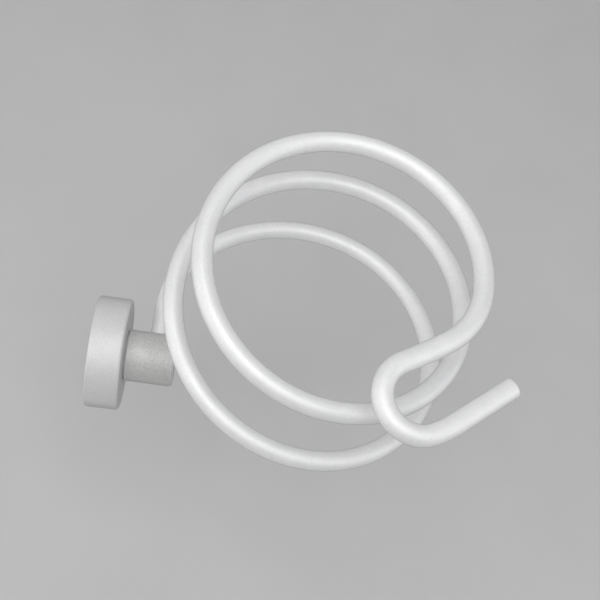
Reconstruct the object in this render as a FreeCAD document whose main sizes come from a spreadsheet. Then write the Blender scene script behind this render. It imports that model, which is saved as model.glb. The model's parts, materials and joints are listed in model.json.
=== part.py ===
import FreeCAD, Part
import math
import os
import Sketcher
from FreeCAD import Placement, Rotation, Vector

# Hair dryer holder: a round wall rosette, a short post and a spiral of 8 mm rod.  The spiral's
# top leans out from the wall, and the rod's free end bends back into a cord hook.  Millimetres.
# Origin: the centre of the wall face, on the post's axis.  The wall is the plane y = 0, the
# holder stands out along -Y, and +Z is up.

DIMENSIONS = {
    # wall bracket: a shallow cup screwed to the wall
    "bracket_dia": 38.9, "bracket_depth": 8.0, "bracket_base": 3.0, "bracket_rim": 3.0,
    "wall_hole": 4.5, "wall_countersink": 8.6, "countersink_angle": 90.0, "wall_hole_spacing": 22.0,
    # rosette cover: a turned cup that slides over the bracket
    "cover_dia": 47.5, "cover_depth": 14.0, "cover_bore": 39.0, "cover_front": 2.5,
    "cover_hole": 6.6, "cover_front_round": 1.2, "cover_rear_round": 0.6,
    # post
    "post_dia": 22.0, "post_end": 35.0, "post_chamfer": 1.0,
    "rod_hole": 8.1, "rod_hole_past_axis": 7.0, "rod_from_wall": 26.9,
    # rod: straight lead out of the post, first bend, coil, hook
    "rod_dia": 8.0, "rod_chamfer": 0.4, "rod_end_gap": 0.1,
    "lead_length": 22.7, "lead_bend_radius": 41.5,
    "coil_radius": 61.0, "coil_taper": 4.1, "coil_rise": 60.8, "coil_rise_loss": 7.7,
    "coil_lean": 8.0, "coil_start": 44.5, "coil_end": 906.8, "hook_tip": 26.2,
    # screws and washers
    "post_thread": 6.0, "post_thread_hole": 6.06, "post_pitch": 1.0, "post_screw_length": 10.0,
    "post_screw_plain": 2.0,
    "head_flats": 10.0, "head_height": 4.0, "rod_grub_length": 4.0, "rod_grub_key": 3.0,
    "cover_thread": 4.0, "cover_thread_hole": 4.06, "cover_pitch": 0.7,
    "cover_grub_length": 4.0, "cover_grub_key": 2.0, "cover_grub_from_wall": 5.0,
    "washer_dia": 12.0, "washer_hole": 6.4, "washer_thick": 1.6,
    "spring_dia": 11.8, "spring_hole": 6.2, "spring_sweep": 350.0,
    # gaps: between faces that are screwed together, and at the tip of the cover's grub screw
    "seat": 0.02, "grub_gap": 0.05,
}
# the hook's bends in turn: how far the bending plane turns about the rod first, then the bend's
# radius and angle; a minus sign on the radius bends the rod away from the coil's axis
HOOK_BENDS = ((3.9, 35.1, 46.0), (0.0, 213.0, 5.3), (-10.4, -13.5, 178.3), (0.0, -55.1, 10.3))
COIL_POINTS_PER_TURN = 24
# a thread groove and a grub screw's socket, as shares of the pitch and of the screw's length
THREAD_FLAT, THREAD_DEPTH, THREAD_OVERCUT = 0.1, 0.5, 0.1
SOCKET_DEPTH = 0.5
SAME_PLACE = 0.01     # mm, for telling edges apart
LEAST_CUT = 0.1       # mm3, less than any real cut takes away

doc = FreeCAD.newDocument("hair_dryer_holder")
sheet = doc.addObject("Spreadsheet::Sheet", "Dims")
for row, (name, size) in enumerate(DIMENSIONS.items(), 1):
    sheet.set(f"A{row}", name)
    sheet.set(f"B{row}", str(size))
    sheet.setAlias(f"B{row}", name)
doc.recompute()
dim = {name: float(sheet.get(name)) for name in DIMENSIONS}

# turned parts stand on their own XY plane; OUTWARD lays their +Z along -Y, out of the wall
OUTWARD = Placement(Vector(0, 0, 0), Rotation(Vector(1, 0, 0), 90))
bodies = []


# ---------------------------------------------------------------- sketches and features

def new_body(label, placement):
    body = doc.addObject("PartDesign::Body", label)
    body.Label = label
    body.Placement = placement
    bodies.append(body)
    return body


def origin(body, role):
    return next(item for item in body.Origin.OriginFeatures if item.Role == role)


def new_sketch(body, label, role, height=None):
    """A sketch on one of the body's origin planes, or at an expression's height above it."""
    sketch = body.newObject("Sketcher::SketchObject", label)
    sketch.AttachmentSupport = [(origin(body, role), "")]
    sketch.MapMode = "FlatFace"
    if height:
        sketch.setExpression("AttachmentOffset.Base.z", height)
    return sketch


def place_point(sketch, index, point, corner):
    """Ties a sketch point to two expressions, measured from the sketch's origin."""
    for kind, text in zip(("DistanceX", "DistanceY"), corner):
        value = sheet.evalExpression(text)
        item = sketch.addConstraint(Sketcher.Constraint(kind, -1, 1, index, point, value))
        sketch.setExpression(f"Constraints[{item}]", text)


def add_polygon(sketch, corners):
    points = [Vector(sheet.evalExpression(x), sheet.evalExpression(y), 0) for x, y in corners]
    following = points[1:] + points[:1]
    lines = [sketch.addGeometry(Part.LineSegment(a, b), False) for a, b in zip(points, following)]
    for line, after in zip(lines, lines[1:] + lines[:1]):
        sketch.addConstraint(Sketcher.Constraint("Coincident", line, 2, after, 1))
    for line, corner in zip(lines, corners):
        place_point(sketch, line, 1, corner)


def add_circle(sketch, diameter, centre=("0", "0")):
    size = sheet.evalExpression(diameter)
    middle = Vector(sheet.evalExpression(centre[0]), sheet.evalExpression(centre[1]), 0)
    index = sketch.addGeometry(Part.Circle(middle, Vector(0, 0, 1), size / 2), False)
    place_point(sketch, index, 3, centre)
    item = sketch.addConstraint(Sketcher.Constraint("Diameter", index, size))
    sketch.setExpression(f"Constraints[{item}]", diameter)


def add_hexagon(sketch, flats):
    half, point = f"{flats} / 2", f"{flats} / 2 / cos(30)"
    add_polygon(sketch, [
        (f"{point}", "0"), (f"{point} / 2", half), (f"-{point} / 2", half),
        (f"-{point}", "0"), (f"-{point} / 2", f"-{half}"), (f"{point} / 2", f"-{half}")])


def pad(body, label, sketch, length):
    feature = body.newObject("PartDesign::Pad", label)
    feature.Profile = sketch
    feature.setExpression("Length", length)


def pocket(body, label, sketch, length, reverse=False):
    """A cut from the sketch, against its normal unless reversed; it must remove material."""
    before = solid_volume(body)
    feature = body.newObject("PartDesign::Pocket", label)
    feature.Profile = sketch
    feature.Reversed = reverse
    feature.setExpression("Length", length)
    check_cut(body, label, before)


def revolve(body, label, sketch, angle="360", kind="PartDesign::Revolution"):
    """Turns a profile drawn on the XZ plane around the body's own Z axis."""
    feature = body.newObject(kind, label)
    feature.Profile = sketch
    feature.ReferenceAxis = (sketch, ["V_Axis"])
    feature.setExpression("Angle", angle)
    return feature


def solid_volume(body):
    doc.recompute()
    return body.Shape.Volume


def check_cut(body, label, before):
    if solid_volume(body) > before - LEAST_CUT:
        raise RuntimeError(f"{label} removes nothing from {body.Label}")


def round_edges(body, label, radius, heights, size, kind="PartDesign::Fillet"):
    """Breaks the circular edges of one radius that lie at the given heights."""
    doc.recompute()
    base = body.Tip
    names = []
    for number, edge in enumerate(base.Shape.Edges, 1):
        if isinstance(edge.Curve, Part.Circle) and abs(edge.Curve.Radius - radius) < SAME_PLACE:
            if min(abs(edge.Curve.Center.z - height) for height in heights) < SAME_PLACE:
                names.append(f"Edge{number}")
    feature = body.newObject(kind, label)
    feature.Base = (base, names)
    feature.setExpression("Radius" if kind.endswith("Fillet") else "Size", size)


def cut_thread(body, label, diameter, pitch, start, length):
    """Thread grooves as closed rings, one V repeated along the screw from the start height."""
    before = solid_volume(body)
    sketch = new_sketch(body, f"{label}_profile", "XZ_Plane")
    crest = f"{diameter} / 2 + {THREAD_OVERCUT} * {pitch}"
    root = f"{diameter} / 2 - {THREAD_DEPTH} * {pitch}"
    add_polygon(sketch, [
        (crest, f"{start} + {THREAD_FLAT / 2} * {pitch}"),
        (crest, f"{start} + {1 - THREAD_FLAT / 2} * {pitch}"), (root, f"{start} + {pitch} / 2")])
    groove = revolve(body, f"{label}_groove", sketch, kind="PartDesign::Groove")
    check_cut(body, label, before)
    turns = int(sheet.evalExpression(f"{length} / {pitch}") + SAME_PLACE)
    pattern = body.newObject("PartDesign::LinearPattern", label)
    pattern.Originals = [groove]
    pattern.Direction = (origin(body, "Z_Axis"), [""])
    pattern.Occurrences = turns
    pattern.setExpression("Length", f"{pitch} * {turns - 1}")
    body.Tip = pattern


# ---------------------------------------------------------------- rosette

def wall_bracket():
    body = new_body("wall_bracket", OUTWARD)
    cup = new_sketch(body, "bracket_profile", "XZ_Plane")
    outer, inner = "Dims.bracket_dia / 2", "Dims.bracket_dia / 2 - Dims.bracket_rim"
    add_polygon(cup, [
        ("0", "0"), (outer, "0"), (outer, "Dims.bracket_depth"), (inner, "Dims.bracket_depth"),
        (inner, "Dims.bracket_base"), ("0", "Dims.bracket_base")])
    revolve(body, "bracket_cup", cup)
    holes = new_sketch(body, "wall_hole_centres", "XY_Plane", "Dims.bracket_base")
    for side in ("", "-"):
        add_circle(holes, "Dims.wall_hole", (f"{side}Dims.wall_hole_spacing / 2", "0"))
    before = solid_volume(body)
    hole = body.newObject("PartDesign::Hole", "wall_holes")
    hole.Profile = holes
    hole.DepthType = "ThroughAll"
    hole.setExpression("Diameter", "Dims.wall_hole")
    hole.HoleCutType = "Countersink"
    hole.HoleCutCustomValues = True
    hole.setExpression("HoleCutDiameter", "Dims.wall_countersink")
    hole.HoleCutCountersinkAngle = dim["countersink_angle"]
    check_cut(body, "wall_holes", before)


def rosette_cover():
    body = new_body("rosette_cover", OUTWARD)
    cup = new_sketch(body, "cover_profile", "XZ_Plane")
    outer, bore, hole = "Dims.cover_dia / 2", "Dims.cover_bore / 2", "Dims.cover_hole / 2"
    back = "Dims.cover_depth - Dims.cover_front"
    add_polygon(cup, [
        (hole, "Dims.cover_depth"), (outer, "Dims.cover_depth"), (outer, "0"), (bore, "0"),
        (bore, back), (hole, back)])
    revolve(body, "cover_cup", cup)
    radius = dim["cover_dia"] / 2
    round_edges(body, "front_round", radius, [dim["cover_depth"]], "Dims.cover_front_round")
    round_edges(body, "rear_round", radius, [0], "Dims.cover_rear_round")
    grub = new_sketch(body, "grub_hole_centre", "XZ_Plane")
    add_circle(grub, "Dims.cover_thread_hole", ("0", "Dims.cover_grub_from_wall"))
    pocket(body, "grub_hole", grub, "Dims.cover_dia", reverse=True)


# ---------------------------------------------------------------- rod

def leaning(vector):
    """Turns the upright coil so that its top leans away from the wall."""
    return Rotation(Vector(1, 0, 0), dim["coil_lean"]).multVec(vector)


def coil(turn):
    """Position and direction on the coil; turns count clockwise from the side facing the wall."""
    angle = 2 * math.pi * turn
    radius = dim["coil_radius"] - dim["coil_taper"] * turn
    height = (dim["coil_rise"] - dim["coil_rise_loss"] * turn) * turn
    place = Vector(radius * math.sin(angle), radius * math.cos(angle), height)
    ahead = Vector(math.cos(angle), -math.sin(angle), 0) * (2 * math.pi * radius)
    inward = Vector(math.sin(angle), math.cos(angle), 0) * -dim["coil_taper"]
    climb = Vector(0, 0, dim["coil_rise"] - 2 * dim["coil_rise_loss"] * turn)
    return leaning(place), leaning((ahead + inward + climb).normalize())


def turned(direction, side, degrees):
    angle = math.radians(degrees)
    return direction * math.cos(angle) + side * math.sin(angle)


def bend(place, direction, side, radius, degrees):
    """An arc towards side; returns its edge and the place, direction and side at its end."""
    def along(part):
        angle = math.radians(degrees) * part
        return place + direction * (radius * math.sin(angle)) + side * (radius * (1 - math.cos(angle)))
    edge = Part.Arc(along(0), along(0.5), along(1)).toShape()
    return edge, along(1), turned(direction, side, degrees), turned(side, -direction, degrees)


def rod_path():
    """The rod's centreline from its end inside the post to the hook's tip, and the lead's slope."""
    first, last = dim["coil_start"] / 360, dim["coil_end"] / 360
    up = leaning(Vector(0, 0, 1))

    # the first bend turns out of the coil until the rod runs square to the post's axis
    place, direction = coil(first)
    outward = up.cross(direction).normalize()
    angle = math.degrees(math.atan2(-direction.y, outward.y))
    lead_bend, corner, back, _ = bend(place, -direction, -outward, dim["lead_bend_radius"], angle)
    post_axis = corner + back * dim["lead_length"]
    rod_end = post_axis + back * (dim["rod_hole_past_axis"] - dim["rod_end_gap"])
    edges = [Part.makeLine(rod_end, corner), lead_bend]

    steps = round((last - first) * COIL_POINTS_PER_TURN)
    points = [coil(first + (last - first) * step / steps)[0] for step in range(steps + 1)]
    place, final = coil(last)
    curve = Part.BSplineCurve()
    curve.interpolate(Points=points, InitialTangent=direction, FinalTangent=final, Scale=False)
    edges.append(curve.toShape())

    direction, side = final, final.cross(up).normalize()
    for roll, radius, degrees in HOOK_BENDS:
        side = turned(side, direction.cross(side), roll)
        way = math.copysign(1, radius)
        edge, place, direction, turned_side = bend(place, direction, side * way, abs(radius), degrees)
        side = turned_side * way
        edges.append(edge)
    edges.append(Part.makeLine(place, place + direction * dim["hook_tip"]))

    shift = Vector(0, -dim["rod_from_wall"], 0) - post_axis
    for edge in edges:
        edge.translate(shift)
    return Part.Wire(edges), math.degrees(math.asin(-back.z)), rod_end + shift


def spiral_rod(path, slope, rod_end):
    line = doc.addObject("Part::Feature", "rod_centreline")
    line.Shape = path
    body = new_body("spiral_rod", Placement())
    round_section = new_sketch(body, "rod_section", "YZ_Plane")
    add_circle(round_section, "Dims.rod_dia")
    round_section.AttachmentOffset = Placement(
        Vector(rod_end.y, rod_end.z, rod_end.x), Rotation(Vector(1, 0, 0), -slope))
    rod = body.newObject("PartDesign::AdditivePipe", "rod_pipe")
    rod.Profile = round_section
    rod.Spine = (line, [f"Edge{number}" for number in range(1, len(path.Edges) + 1)])
    doc.recompute()
    tip = path.Edges[-1].valueAt(path.Edges[-1].LastParameter)
    names = [f"Edge{number}" for number, edge in enumerate(rod.Shape.Edges, 1)
             if isinstance(edge.Curve, Part.Circle) and edge.Curve.Center.distanceToPoint(tip) < SAME_PLACE]
    broken = body.newObject("PartDesign::Chamfer", "tip_chamfer")
    broken.Base = (rod, names)
    broken.setExpression("Size", "Dims.rod_chamfer")


# ---------------------------------------------------------------- post and fastenings

def post(slope):
    body = new_body("post", OUTWARD * Placement(Vector(0, 0, 0), Rotation(Vector(0, 0, 1), slope)))
    rear = "Dims.cover_depth + Dims.seat"
    bar = new_sketch(body, "post_section", "XY_Plane", rear)
    add_circle(bar, "Dims.post_dia")
    pad(body, "post_bar", bar, f"Dims.post_end - ({rear})")
    ends = [dim["post_end"], dim["cover_depth"] + dim["seat"]]
    round_edges(body, "post_edges", dim["post_dia"] / 2, ends, "Dims.post_chamfer", "PartDesign::Chamfer")
    rod = new_sketch(body, "rod_hole_centre", "YZ_Plane", "-Dims.rod_hole_past_axis")
    add_circle(rod, "Dims.rod_hole", ("0", "Dims.rod_from_wall"))
    pocket(body, "rod_hole", rod, "Dims.post_dia", reverse=True)
    screw = new_sketch(body, "screw_hole_centre", "XY_Plane", rear)
    add_circle(screw, "Dims.post_thread_hole")
    pocket(body, "screw_hole", screw, f"Dims.rod_from_wall - ({rear})", reverse=True)


def ring(label, outer, inner, height, thick, sweep="360"):
    body = new_body(label, OUTWARD)
    section = new_sketch(body, f"{label}_section", "XZ_Plane")
    add_polygon(section, [
        (f"{inner} / 2", height), (f"{outer} / 2", height),
        (f"{outer} / 2", f"{height} + {thick}"), (f"{inner} / 2", f"{height} + {thick}")])
    revolve(body, f"{label}_ring", section, sweep)


def post_screw(head_top):
    """A hexagon head screw from inside the cover; head_top is the height of its bearing face."""
    body = new_body("post_screw", OUTWARD)
    head = new_sketch(body, "head_outline", "XY_Plane", f"{head_top} - Dims.head_height")
    add_hexagon(head, "Dims.head_flats")
    pad(body, "head", head, "Dims.head_height")
    shank = new_sketch(body, "shank_outline", "XY_Plane", head_top)
    add_circle(shank, "Dims.post_thread")
    pad(body, "shank", shank, "Dims.post_screw_length")
    cut_thread(body, "shank_thread", "Dims.post_thread", "Dims.post_pitch",
               f"{head_top} + Dims.post_screw_plain",
               "(Dims.post_screw_length - Dims.post_screw_plain)")


def grub_screw(label, placement, diameter, pitch, length, key):
    """A headless screw: its flat tip at the body's origin, its hexagon socket at the far end."""
    body = new_body(label, placement)
    bar = new_sketch(body, f"{label}_section", "XY_Plane")
    add_circle(bar, diameter)
    pad(body, f"{label}_bar", bar, length)
    socket = new_sketch(body, f"{label}_socket_outline", "XY_Plane", length)
    add_hexagon(socket, key)
    pocket(body, f"{label}_socket", socket, f"{length} * {SOCKET_DEPTH}")
    cut_thread(body, f"{label}_thread", diameter, pitch, "0", length)


def fastenings():
    inside = "(Dims.cover_depth - Dims.cover_front)"
    washer = f"({inside} - Dims.seat - Dims.washer_thick)"
    spring = f"({washer} - Dims.seat - Dims.washer_thick)"
    ring("post_flat_washer", "Dims.washer_dia", "Dims.washer_hole", washer, "Dims.washer_thick")
    ring("post_spring_washer", "Dims.spring_dia", "Dims.spring_hole", spring, "Dims.washer_thick",
         "Dims.spring_sweep")
    post_screw(f"({spring} - Dims.seat)")

    # the rod's grub screw follows the post's bore outwards, with its tip on the rod
    on_rod = Vector(0, -(dim["rod_from_wall"] - dim["rod_dia"] / 2 - dim["seat"]), 0)
    grub_screw("rod_grub_screw", Placement(on_rod, Rotation(Vector(1, 0, 0), -90)),
               "Dims.post_thread", "Dims.post_pitch", "Dims.rod_grub_length", "Dims.rod_grub_key")

    # the cover's grub screw comes up from below, with its tip just clear of the bracket's rim
    on_rim = Vector(0, -dim["cover_grub_from_wall"], -(dim["bracket_dia"] / 2 + dim["grub_gap"]))
    grub_screw("cover_grub_screw", Placement(on_rim, Rotation(Vector(1, 0, 0), 180)),
               "Dims.cover_thread", "Dims.cover_pitch", "Dims.cover_grub_length",
               "Dims.cover_grub_key")


# ---------------------------------------------------------------- build, check and write

path, lead_slope, inner_end = rod_path()
wall_bracket()
rosette_cover()
post(lead_slope)
spiral_rod(path, lead_slope, inner_end)
fastenings()
doc.recompute()

for item in doc.Objects:
    if {"Invalid", "Error"} & set(item.State):
        raise RuntimeError(f"{item.Label} failed: {item.State}")
for body in bodies:
    if body.Shape.isNull() or not body.Shape.isValid() or len(body.Shape.Solids) != 1:
        raise RuntimeError(f"{body.Label} is not one valid solid")

os.makedirs("parts", exist_ok=True)
for body in bodies:
    body.Shape.exportStep(f"parts/{body.Label}.step")
    box = body.Shape.BoundBox
    print(f"{body.Label:20s} {body.Shape.Volume:10.1f} mm3"
          f"  x {box.XMin:7.2f} {box.XMax:7.2f}  y {box.YMin:8.2f} {box.YMax:6.2f}"
          f"  z {box.ZMin:7.2f} {box.ZMax:7.2f}")
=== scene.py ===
import json
import math

import bpy
from mathutils import Matrix, Vector


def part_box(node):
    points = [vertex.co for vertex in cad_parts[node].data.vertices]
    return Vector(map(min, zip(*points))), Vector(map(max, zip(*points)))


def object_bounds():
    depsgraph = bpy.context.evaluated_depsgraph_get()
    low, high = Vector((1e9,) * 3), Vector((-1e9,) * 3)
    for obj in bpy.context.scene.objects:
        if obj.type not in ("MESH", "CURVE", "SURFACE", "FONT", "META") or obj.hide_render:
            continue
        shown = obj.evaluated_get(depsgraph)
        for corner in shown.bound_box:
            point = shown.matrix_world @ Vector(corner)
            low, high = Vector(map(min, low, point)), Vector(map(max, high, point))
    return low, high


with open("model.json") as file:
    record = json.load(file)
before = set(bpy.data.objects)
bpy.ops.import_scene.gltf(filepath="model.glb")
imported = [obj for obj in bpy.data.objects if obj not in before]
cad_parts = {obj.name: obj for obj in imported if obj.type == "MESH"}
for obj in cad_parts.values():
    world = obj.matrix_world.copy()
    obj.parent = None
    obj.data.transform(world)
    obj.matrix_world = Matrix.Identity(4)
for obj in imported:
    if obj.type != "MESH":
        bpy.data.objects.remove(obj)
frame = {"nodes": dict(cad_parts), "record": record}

# A wall-mounted hair dryer holder in anodised aluminium, shown without its wall, in the light of
# a soft studio.  Metres, in the CAD frame: +Z up, and the holder stands out of the wall along -Y.

cad_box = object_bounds()
MM = 0.001


# ---------------------------------------------------------------- materials

NOISE_RANGE = (0.3, 0.7)        # where most values of a noise lie
NOISE_ROUGHNESS = 0.55
BEVEL_SAMPLES = 6
SHARP_EDGE = (0.86, 0.995)      # cosine between the bevelled and the true normal

# the anodised parts
ALUMINIUM_METALLIC = 0.45
FILM_PATCH = 9 * MM
FILM_DEPTH = 0.02 * MM
TONE_GRAIN = 0.9 * MM
DULL_PATCH = 4 * MM
DULL_SPREAD = 0.04
# painted shade: the anodised colour darkens towards the outline, where the surface turns away from the
# view
PAINTED_SHADE_SPAN = (0.55, 1.0)          # where the painted shade starts, and where it is full
PAINTED_SHADE_DEPTH = 0.6
# edges lightened towards bare metal: partly wear, partly a painted highlight on the chamfers
BARE_METAL_AND_HIGHLIGHT = (0.93, 0.93, 0.93)
WEAR_AND_HIGHLIGHT_SHARE = 0.75
WEAR_POLISH = 0.15
# colour of the dark specks, and also of the painted shade towards the outline
SPECK_AND_EDGE_SHADE_COLOUR = (0.35, 0.35, 0.36)
SPECK_SPACING = 7 * MM
SPECK_REACH = (0.015, 0.035)    # from a speck's core to its edge, in spacings
SPECK_SHADE = 0.45
SPECK_FREE = 0.55               # share of the places without a speck

# the bracket and the fasteners, each with its darkest and lightest tone
STEEL_TONES = (0.50, 0.49, 0.47), (0.66, 0.65, 0.63)
STEEL_RING = 0.25 * MM
RING_STRETCH = (1.0, 6.0, 1.0)
ZINC_TONES = (0.56, 0.59, 0.62), (0.68, 0.70, 0.71)
ZINC_YELLOW = (0.66, 0.62, 0.50)
ZINC_SPANGLE = 2.5 * MM


class Nodes:
    """A material's node tree, with a short way to add and join nodes."""

    def __init__(self, name):
        self.material = bpy.data.materials.new(name)
        self.material.use_nodes = True
        self.tree = self.material.node_tree
        self.tree.nodes.clear()
        self.shader = self.add("ShaderNodeBsdfPrincipled")
        output = self.add("ShaderNodeOutputMaterial")
        self.tree.links.new(self.shader.outputs["BSDF"], output.inputs["Surface"])
        self.place = self.add("ShaderNodeTexCoord").outputs["Object"]

    def add(self, kind, inputs=(), **settings):
        node = self.tree.nodes.new(kind)
        for key, value in settings.items():
            setattr(node, key, value)
        for key, value in dict(inputs).items():
            self.put(node, key, value)
        return node

    def put(self, node, key, value):
        if isinstance(value, bpy.types.NodeSocket):
            self.tree.links.new(value, node.inputs[key])
        else:
            node.inputs[key].default_value = value

    def noise(self, size, detail=2.0, stretch=None):
        """Noise with features of about the given size, as a value around 0.5."""
        place = self.place
        if stretch:
            place = self.add("ShaderNodeVectorMath", {0: place, 1: stretch},
                             operation="MULTIPLY").outputs[0]
        return self.add("ShaderNodeTexNoise", {
            "Vector": place, "Scale": 1 / size, "Detail": detail,
            "Roughness": NOISE_ROUGHNESS}).outputs["Fac"]

    def cells(self, size):
        """A Voronoi pattern's node, with cells of about the given size."""
        return self.add("ShaderNodeTexVoronoi", {"Vector": self.place, "Scale": 1 / size})

    def math(self, operation, first, second):
        return self.add("ShaderNodeMath", {0: first, 1: second}, operation=operation).outputs[0]

    def spread(self, value, low=0.0, high=1.0, source=NOISE_RANGE):
        """Carries a value from the source range to low and high."""
        return self.add("ShaderNodeMapRange", {
            "Value": value, "From Min": source[0], "From Max": source[1],
            "To Min": low, "To Max": high}).outputs["Result"]

    def tint(self, factor, first, second):
        """Mixes two colours, each an (r, g, b) or another node's output."""
        node = self.add("ShaderNodeMix", data_type="RGBA", blend_type="MIX")
        self.put(node, 0, factor)
        for socket, colour in ((6, first), (7, second)):
            given = isinstance(colour, bpy.types.NodeSocket)
            self.put(node, socket, colour if given else (*colour, 1.0))
        return node.outputs[2]

    def specks(self):
        """The shade of a few small dots spread over the surface, 0 elsewhere."""
        cells = self.cells(SPECK_SPACING)
        dot = self.spread(cells.outputs["Distance"], SPECK_SHADE, 0.0, source=SPECK_REACH)
        pick = self.add("ShaderNodeSeparateColor", {"Color": cells.outputs["Color"]}).outputs[0]
        return self.math("MULTIPLY", dot, self.math("GREATER_THAN", pick, SPECK_FREE))

    def edge(self, radius):
        """1 on edges sharper than the radius, 0 on open faces."""
        soft = self.add("ShaderNodeBevel", {"Radius": radius}, samples=BEVEL_SAMPLES).outputs["Normal"]
        hard = self.add("ShaderNodeNewGeometry").outputs["Normal"]
        facing = self.add("ShaderNodeVectorMath", {0: soft, 1: hard}, operation="DOT_PRODUCT")
        return self.spread(facing.outputs["Value"], 1.0, 0.0, source=SHARP_EDGE)

    def bump(self, layers):
        """Height layers as (value, depth in metres), joined into one normal."""
        normal = None
        for value, depth in layers:
            node = self.add("ShaderNodeBump", {"Height": value, "Distance": depth})
            if normal:
                self.put(node, "Normal", normal)
            normal = node.outputs["Normal"]
        self.put(self.shader, "Normal", normal)


def anodised(name, light, dark, roughness, grain, grain_depth, cloud=0.5, wear_and_highlight_radius=0.35 * MM):
    """Blasted and anodised aluminium: fine pits, a cloudy oxide film, specks, painted shade towards
    the outline, and edges lightened by wear and a painted highlight.
    """
    n = Nodes(name)
    pits = n.noise(grain, detail=3.0)
    film = n.noise(FILM_PATCH, detail=4.0)
    tone = n.noise(TONE_GRAIN, detail=1.0)
    mix = n.math("ADD", n.math("MULTIPLY", film, cloud), n.math("MULTIPLY", tone, 1 - cloud))
    colour = n.tint(n.spread(mix), dark, light)
    # painted shade: the colour darkens where the surface turns away from the view, towards the
    # outline, and a few pits show as dark specks
    turned_away = n.add("ShaderNodeLayerWeight", {"Blend": 0.5}).outputs["Facing"]
    painted_edge_shade = n.spread(turned_away, 0.0, PAINTED_SHADE_DEPTH, source=PAINTED_SHADE_SPAN)
    colour = n.tint(n.math("MAXIMUM", painted_edge_shade, n.specks()), colour, SPECK_AND_EDGE_SHADE_COLOUR)
    # edges lighten towards bare metal and get smoother: partly wear, partly a painted highlight on the
    # chamfers
    worn_and_highlit = n.edge(wear_and_highlight_radius)
    colour = n.tint(n.math("MULTIPLY", worn_and_highlit, WEAR_AND_HIGHLIGHT_SHARE), colour, BARE_METAL_AND_HIGHLIGHT)
    dull = n.spread(n.noise(DULL_PATCH, detail=3.0), roughness - DULL_SPREAD, roughness + DULL_SPREAD)
    n.put(n.shader, "Base Color", colour)
    n.put(n.shader, "Metallic", ALUMINIUM_METALLIC)
    n.put(n.shader, "Roughness", n.math("SUBTRACT", dull, n.math("MULTIPLY", worn_and_highlit, WEAR_POLISH)))
    n.bump([(pits, grain_depth), (film, FILM_DEPTH)])
    return n.material


def stainless(name):
    """Turned stainless steel with fine tool rings around the Y axis."""
    n = Nodes(name)
    rings = n.noise(STEEL_RING, detail=1.0, stretch=RING_STRETCH)
    stain = n.noise(3 * MM, detail=3.0)
    n.put(n.shader, "Base Color", n.tint(n.spread(stain), *STEEL_TONES))
    n.put(n.shader, "Metallic", 1.0)
    n.put(n.shader, "Roughness", n.spread(rings, 0.24, 0.42))
    n.bump([(rings, 0.02 * MM)])
    return n.material


def zinc_plate(name):
    """Passivated zinc: a grey-blue film with pale spangles and a little yellow."""
    n = Nodes(name)
    spangle = n.cells(ZINC_SPANGLE).outputs["Distance"]
    cloud = n.noise(12 * MM, detail=4.0)
    grey = n.tint(n.spread(spangle, source=(0.0, 0.8)), *ZINC_TONES)
    n.put(n.shader, "Base Color", n.tint(n.spread(cloud, 0.0, 0.35), grey, ZINC_YELLOW))
    n.put(n.shader, "Metallic", 1.0)
    n.put(n.shader, "Roughness", n.spread(cloud, 0.34, 0.52))
    n.bump([(spangle, 0.01 * MM), (n.noise(0.5 * MM), 0.01 * MM)])
    return n.material


def dress(material, *names):
    """Gives the named pieces one material."""
    for name in names:
        mesh = frame["nodes"][name].data
        mesh.materials.clear()
        mesh.materials.append(material)


dress(anodised("rod_satin", light=(0.95, 0.95, 0.955), dark=(0.86, 0.865, 0.87),
               roughness=0.58, grain=0.35 * MM, grain_depth=0.018 * MM), "spiral_rod")
# the post's wide edge radius lightens its chamfers: partly wear, partly a painted highlight
dress(anodised("post_blasted", light=(0.74, 0.735, 0.72), dark=(0.60, 0.60, 0.60),
               roughness=0.64, grain=0.7 * MM, grain_depth=0.030 * MM,
               cloud=0.25, wear_and_highlight_radius=0.9 * MM), "post")
dress(anodised("cover_matte", light=(0.79, 0.79, 0.785), dark=(0.71, 0.71, 0.715),
               roughness=0.62, grain=0.3 * MM, grain_depth=0.008 * MM), "rosette_cover")
dress(zinc_plate("bracket_zinc"), "wall_bracket")
dress(stainless("fastener_steel"), "cover_grub_screw", "rod_grub_screw", "post_screw",
      "post_spring_washer", "post_flat_washer")


# ---------------------------------------------------------------- floor, light and camera

centre = (cad_box[0] + cad_box[1]) / 2


def reach():
    """How far the turning parts get from the post's axis, which runs through the origin."""
    corners = [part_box(name) for name in frame["record"]["behaviour"]["bodies"]["holder"]]
    return max(math.hypot(x, z) for low, high in corners
               for x in (low.x, high.x) for z in (low.z, high.z))


FLOOR_GAP = 8 * MM
FLOOR_SIZE = 1.4
FLOOR_TONES = (0.56, 0.56, 0.565), (0.58, 0.58, 0.585)


def floor():
    """A plain pale floor, low enough for the holder to turn a full circle above it."""
    mesh = bpy.data.meshes.new("floor")
    half, height = FLOOR_SIZE / 2, -(reach() + FLOOR_GAP)
    corners = [(x * half, y * half, height) for x, y in ((-1, -1), (1, -1), (1, 1), (-1, 1))]
    mesh.from_pydata(corners, [], [(0, 1, 2, 3)])
    plane = bpy.data.objects.new("floor", mesh)
    bpy.context.scene.collection.objects.link(plane)
    n = Nodes("floor_pale")
    patch = n.noise(60 * MM, detail=3.0)
    n.put(n.shader, "Base Color", n.tint(n.spread(patch), *FLOOR_TONES))
    n.put(n.shader, "Roughness", 0.9)
    n.bump([(n.noise(1.5 * MM, detail=3.0), 0.05 * MM)])
    mesh.materials.append(n.material)


# the camera's direction as azimuth and elevation seen from the object, then its roll
CAMERA_AZIMUTH = -99.0
CAMERA_ELEVATION = 61.5
CAMERA_ROLL = 15.8
CAMERA_DISTANCE = 442.2 * MM
CAMERA_LENS = 65.52
CAMERA_SENSOR = 36.0
CAMERA_AIM = Vector((8.5, -2.8, 4.8)) * MM     # from the middle of the object's box


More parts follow.
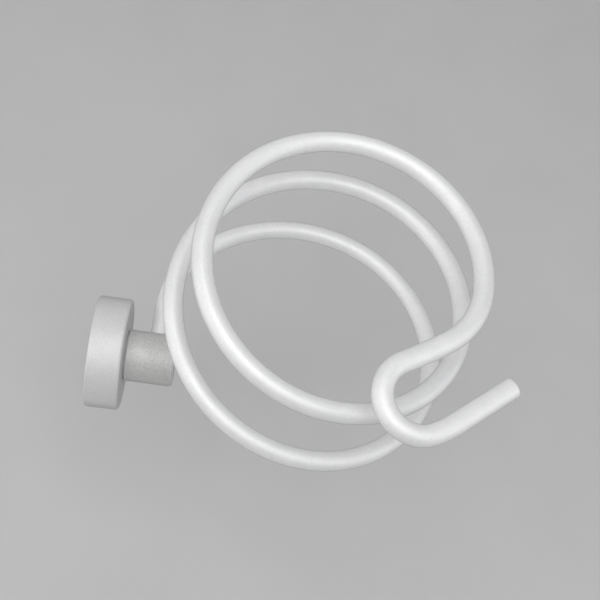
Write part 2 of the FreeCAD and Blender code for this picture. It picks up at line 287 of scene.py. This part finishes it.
def camera_axes():
    """The camera's right, up and back directions."""
    azimuth, elevation, roll = map(math.radians, (CAMERA_AZIMUTH, CAMERA_ELEVATION, CAMERA_ROLL))
    back = Vector((math.sin(azimuth) * math.cos(elevation),
                   -math.cos(azimuth) * math.cos(elevation), math.sin(elevation)))
    level = Vector((0, 0, 1)).cross(back).normalized()
    upright = back.cross(level)
    right = level * math.cos(roll) + upright * math.sin(roll)
    return right, back.cross(right), back


def camera():
    right, up, back = camera_axes()
    data = bpy.data.cameras.new("camera")
    data.lens, data.sensor_width = CAMERA_LENS, CAMERA_SENSOR
    data.clip_start, data.clip_end = 10 * MM, 10 * FLOOR_SIZE
    item = bpy.data.objects.new("camera", data)
    bpy.context.scene.collection.objects.link(item)
    turn = Matrix((right, up, back)).transposed().to_4x4()
    item.matrix_world = Matrix.Translation(centre + CAMERA_AIM + back * CAMERA_DISTANCE) @ turn
    bpy.context.scene.camera = item


SOFTBOX_DISTANCE = 0.9
AMBIENT = 0.33


def softbox(name, across, above, watts, width=0.8, height=0.7):
    """A light facing the object, the given angles to the right of and above the camera's line."""
    right, up, back = camera_axes()
    across, above = math.radians(across), math.radians(above)
    level = right * math.sin(across) + back * math.cos(across)
    way = level * math.cos(above) + up * math.sin(above)
    side = (right - way * right.dot(way)).normalized()
    data = bpy.data.lights.new(name, "AREA")
    data.shape, data.size, data.size_y, data.energy = "RECTANGLE", width, height, watts
    item = bpy.data.objects.new(name, data)
    bpy.context.scene.collection.objects.link(item)
    turn = Matrix((side, way.cross(side), way)).transposed().to_4x4()
    item.matrix_world = Matrix.Translation(centre + way * SOFTBOX_DISTANCE) @ turn


def studio():
    """Four soft lights around the camera's line, in an even pale surround."""
    softbox("front", 0, 12, 4.2)
    softbox("left", -65, 4, 2.1)
    softbox("right", 65, -10, 1.8)
    softbox("top", 0, 82, 0.7, width=1.0, height=0.6)
    world = bpy.data.worlds.new("studio")
    world.use_nodes = True
    background = world.node_tree.nodes["Background"]
    background.inputs["Color"].default_value = (1.0, 1.0, 1.0, 1.0)
    background.inputs["Strength"].default_value = AMBIENT
    bpy.context.scene.world = world
    bpy.context.scene.view_settings.view_transform = "Standard"


floor()
camera()
studio()
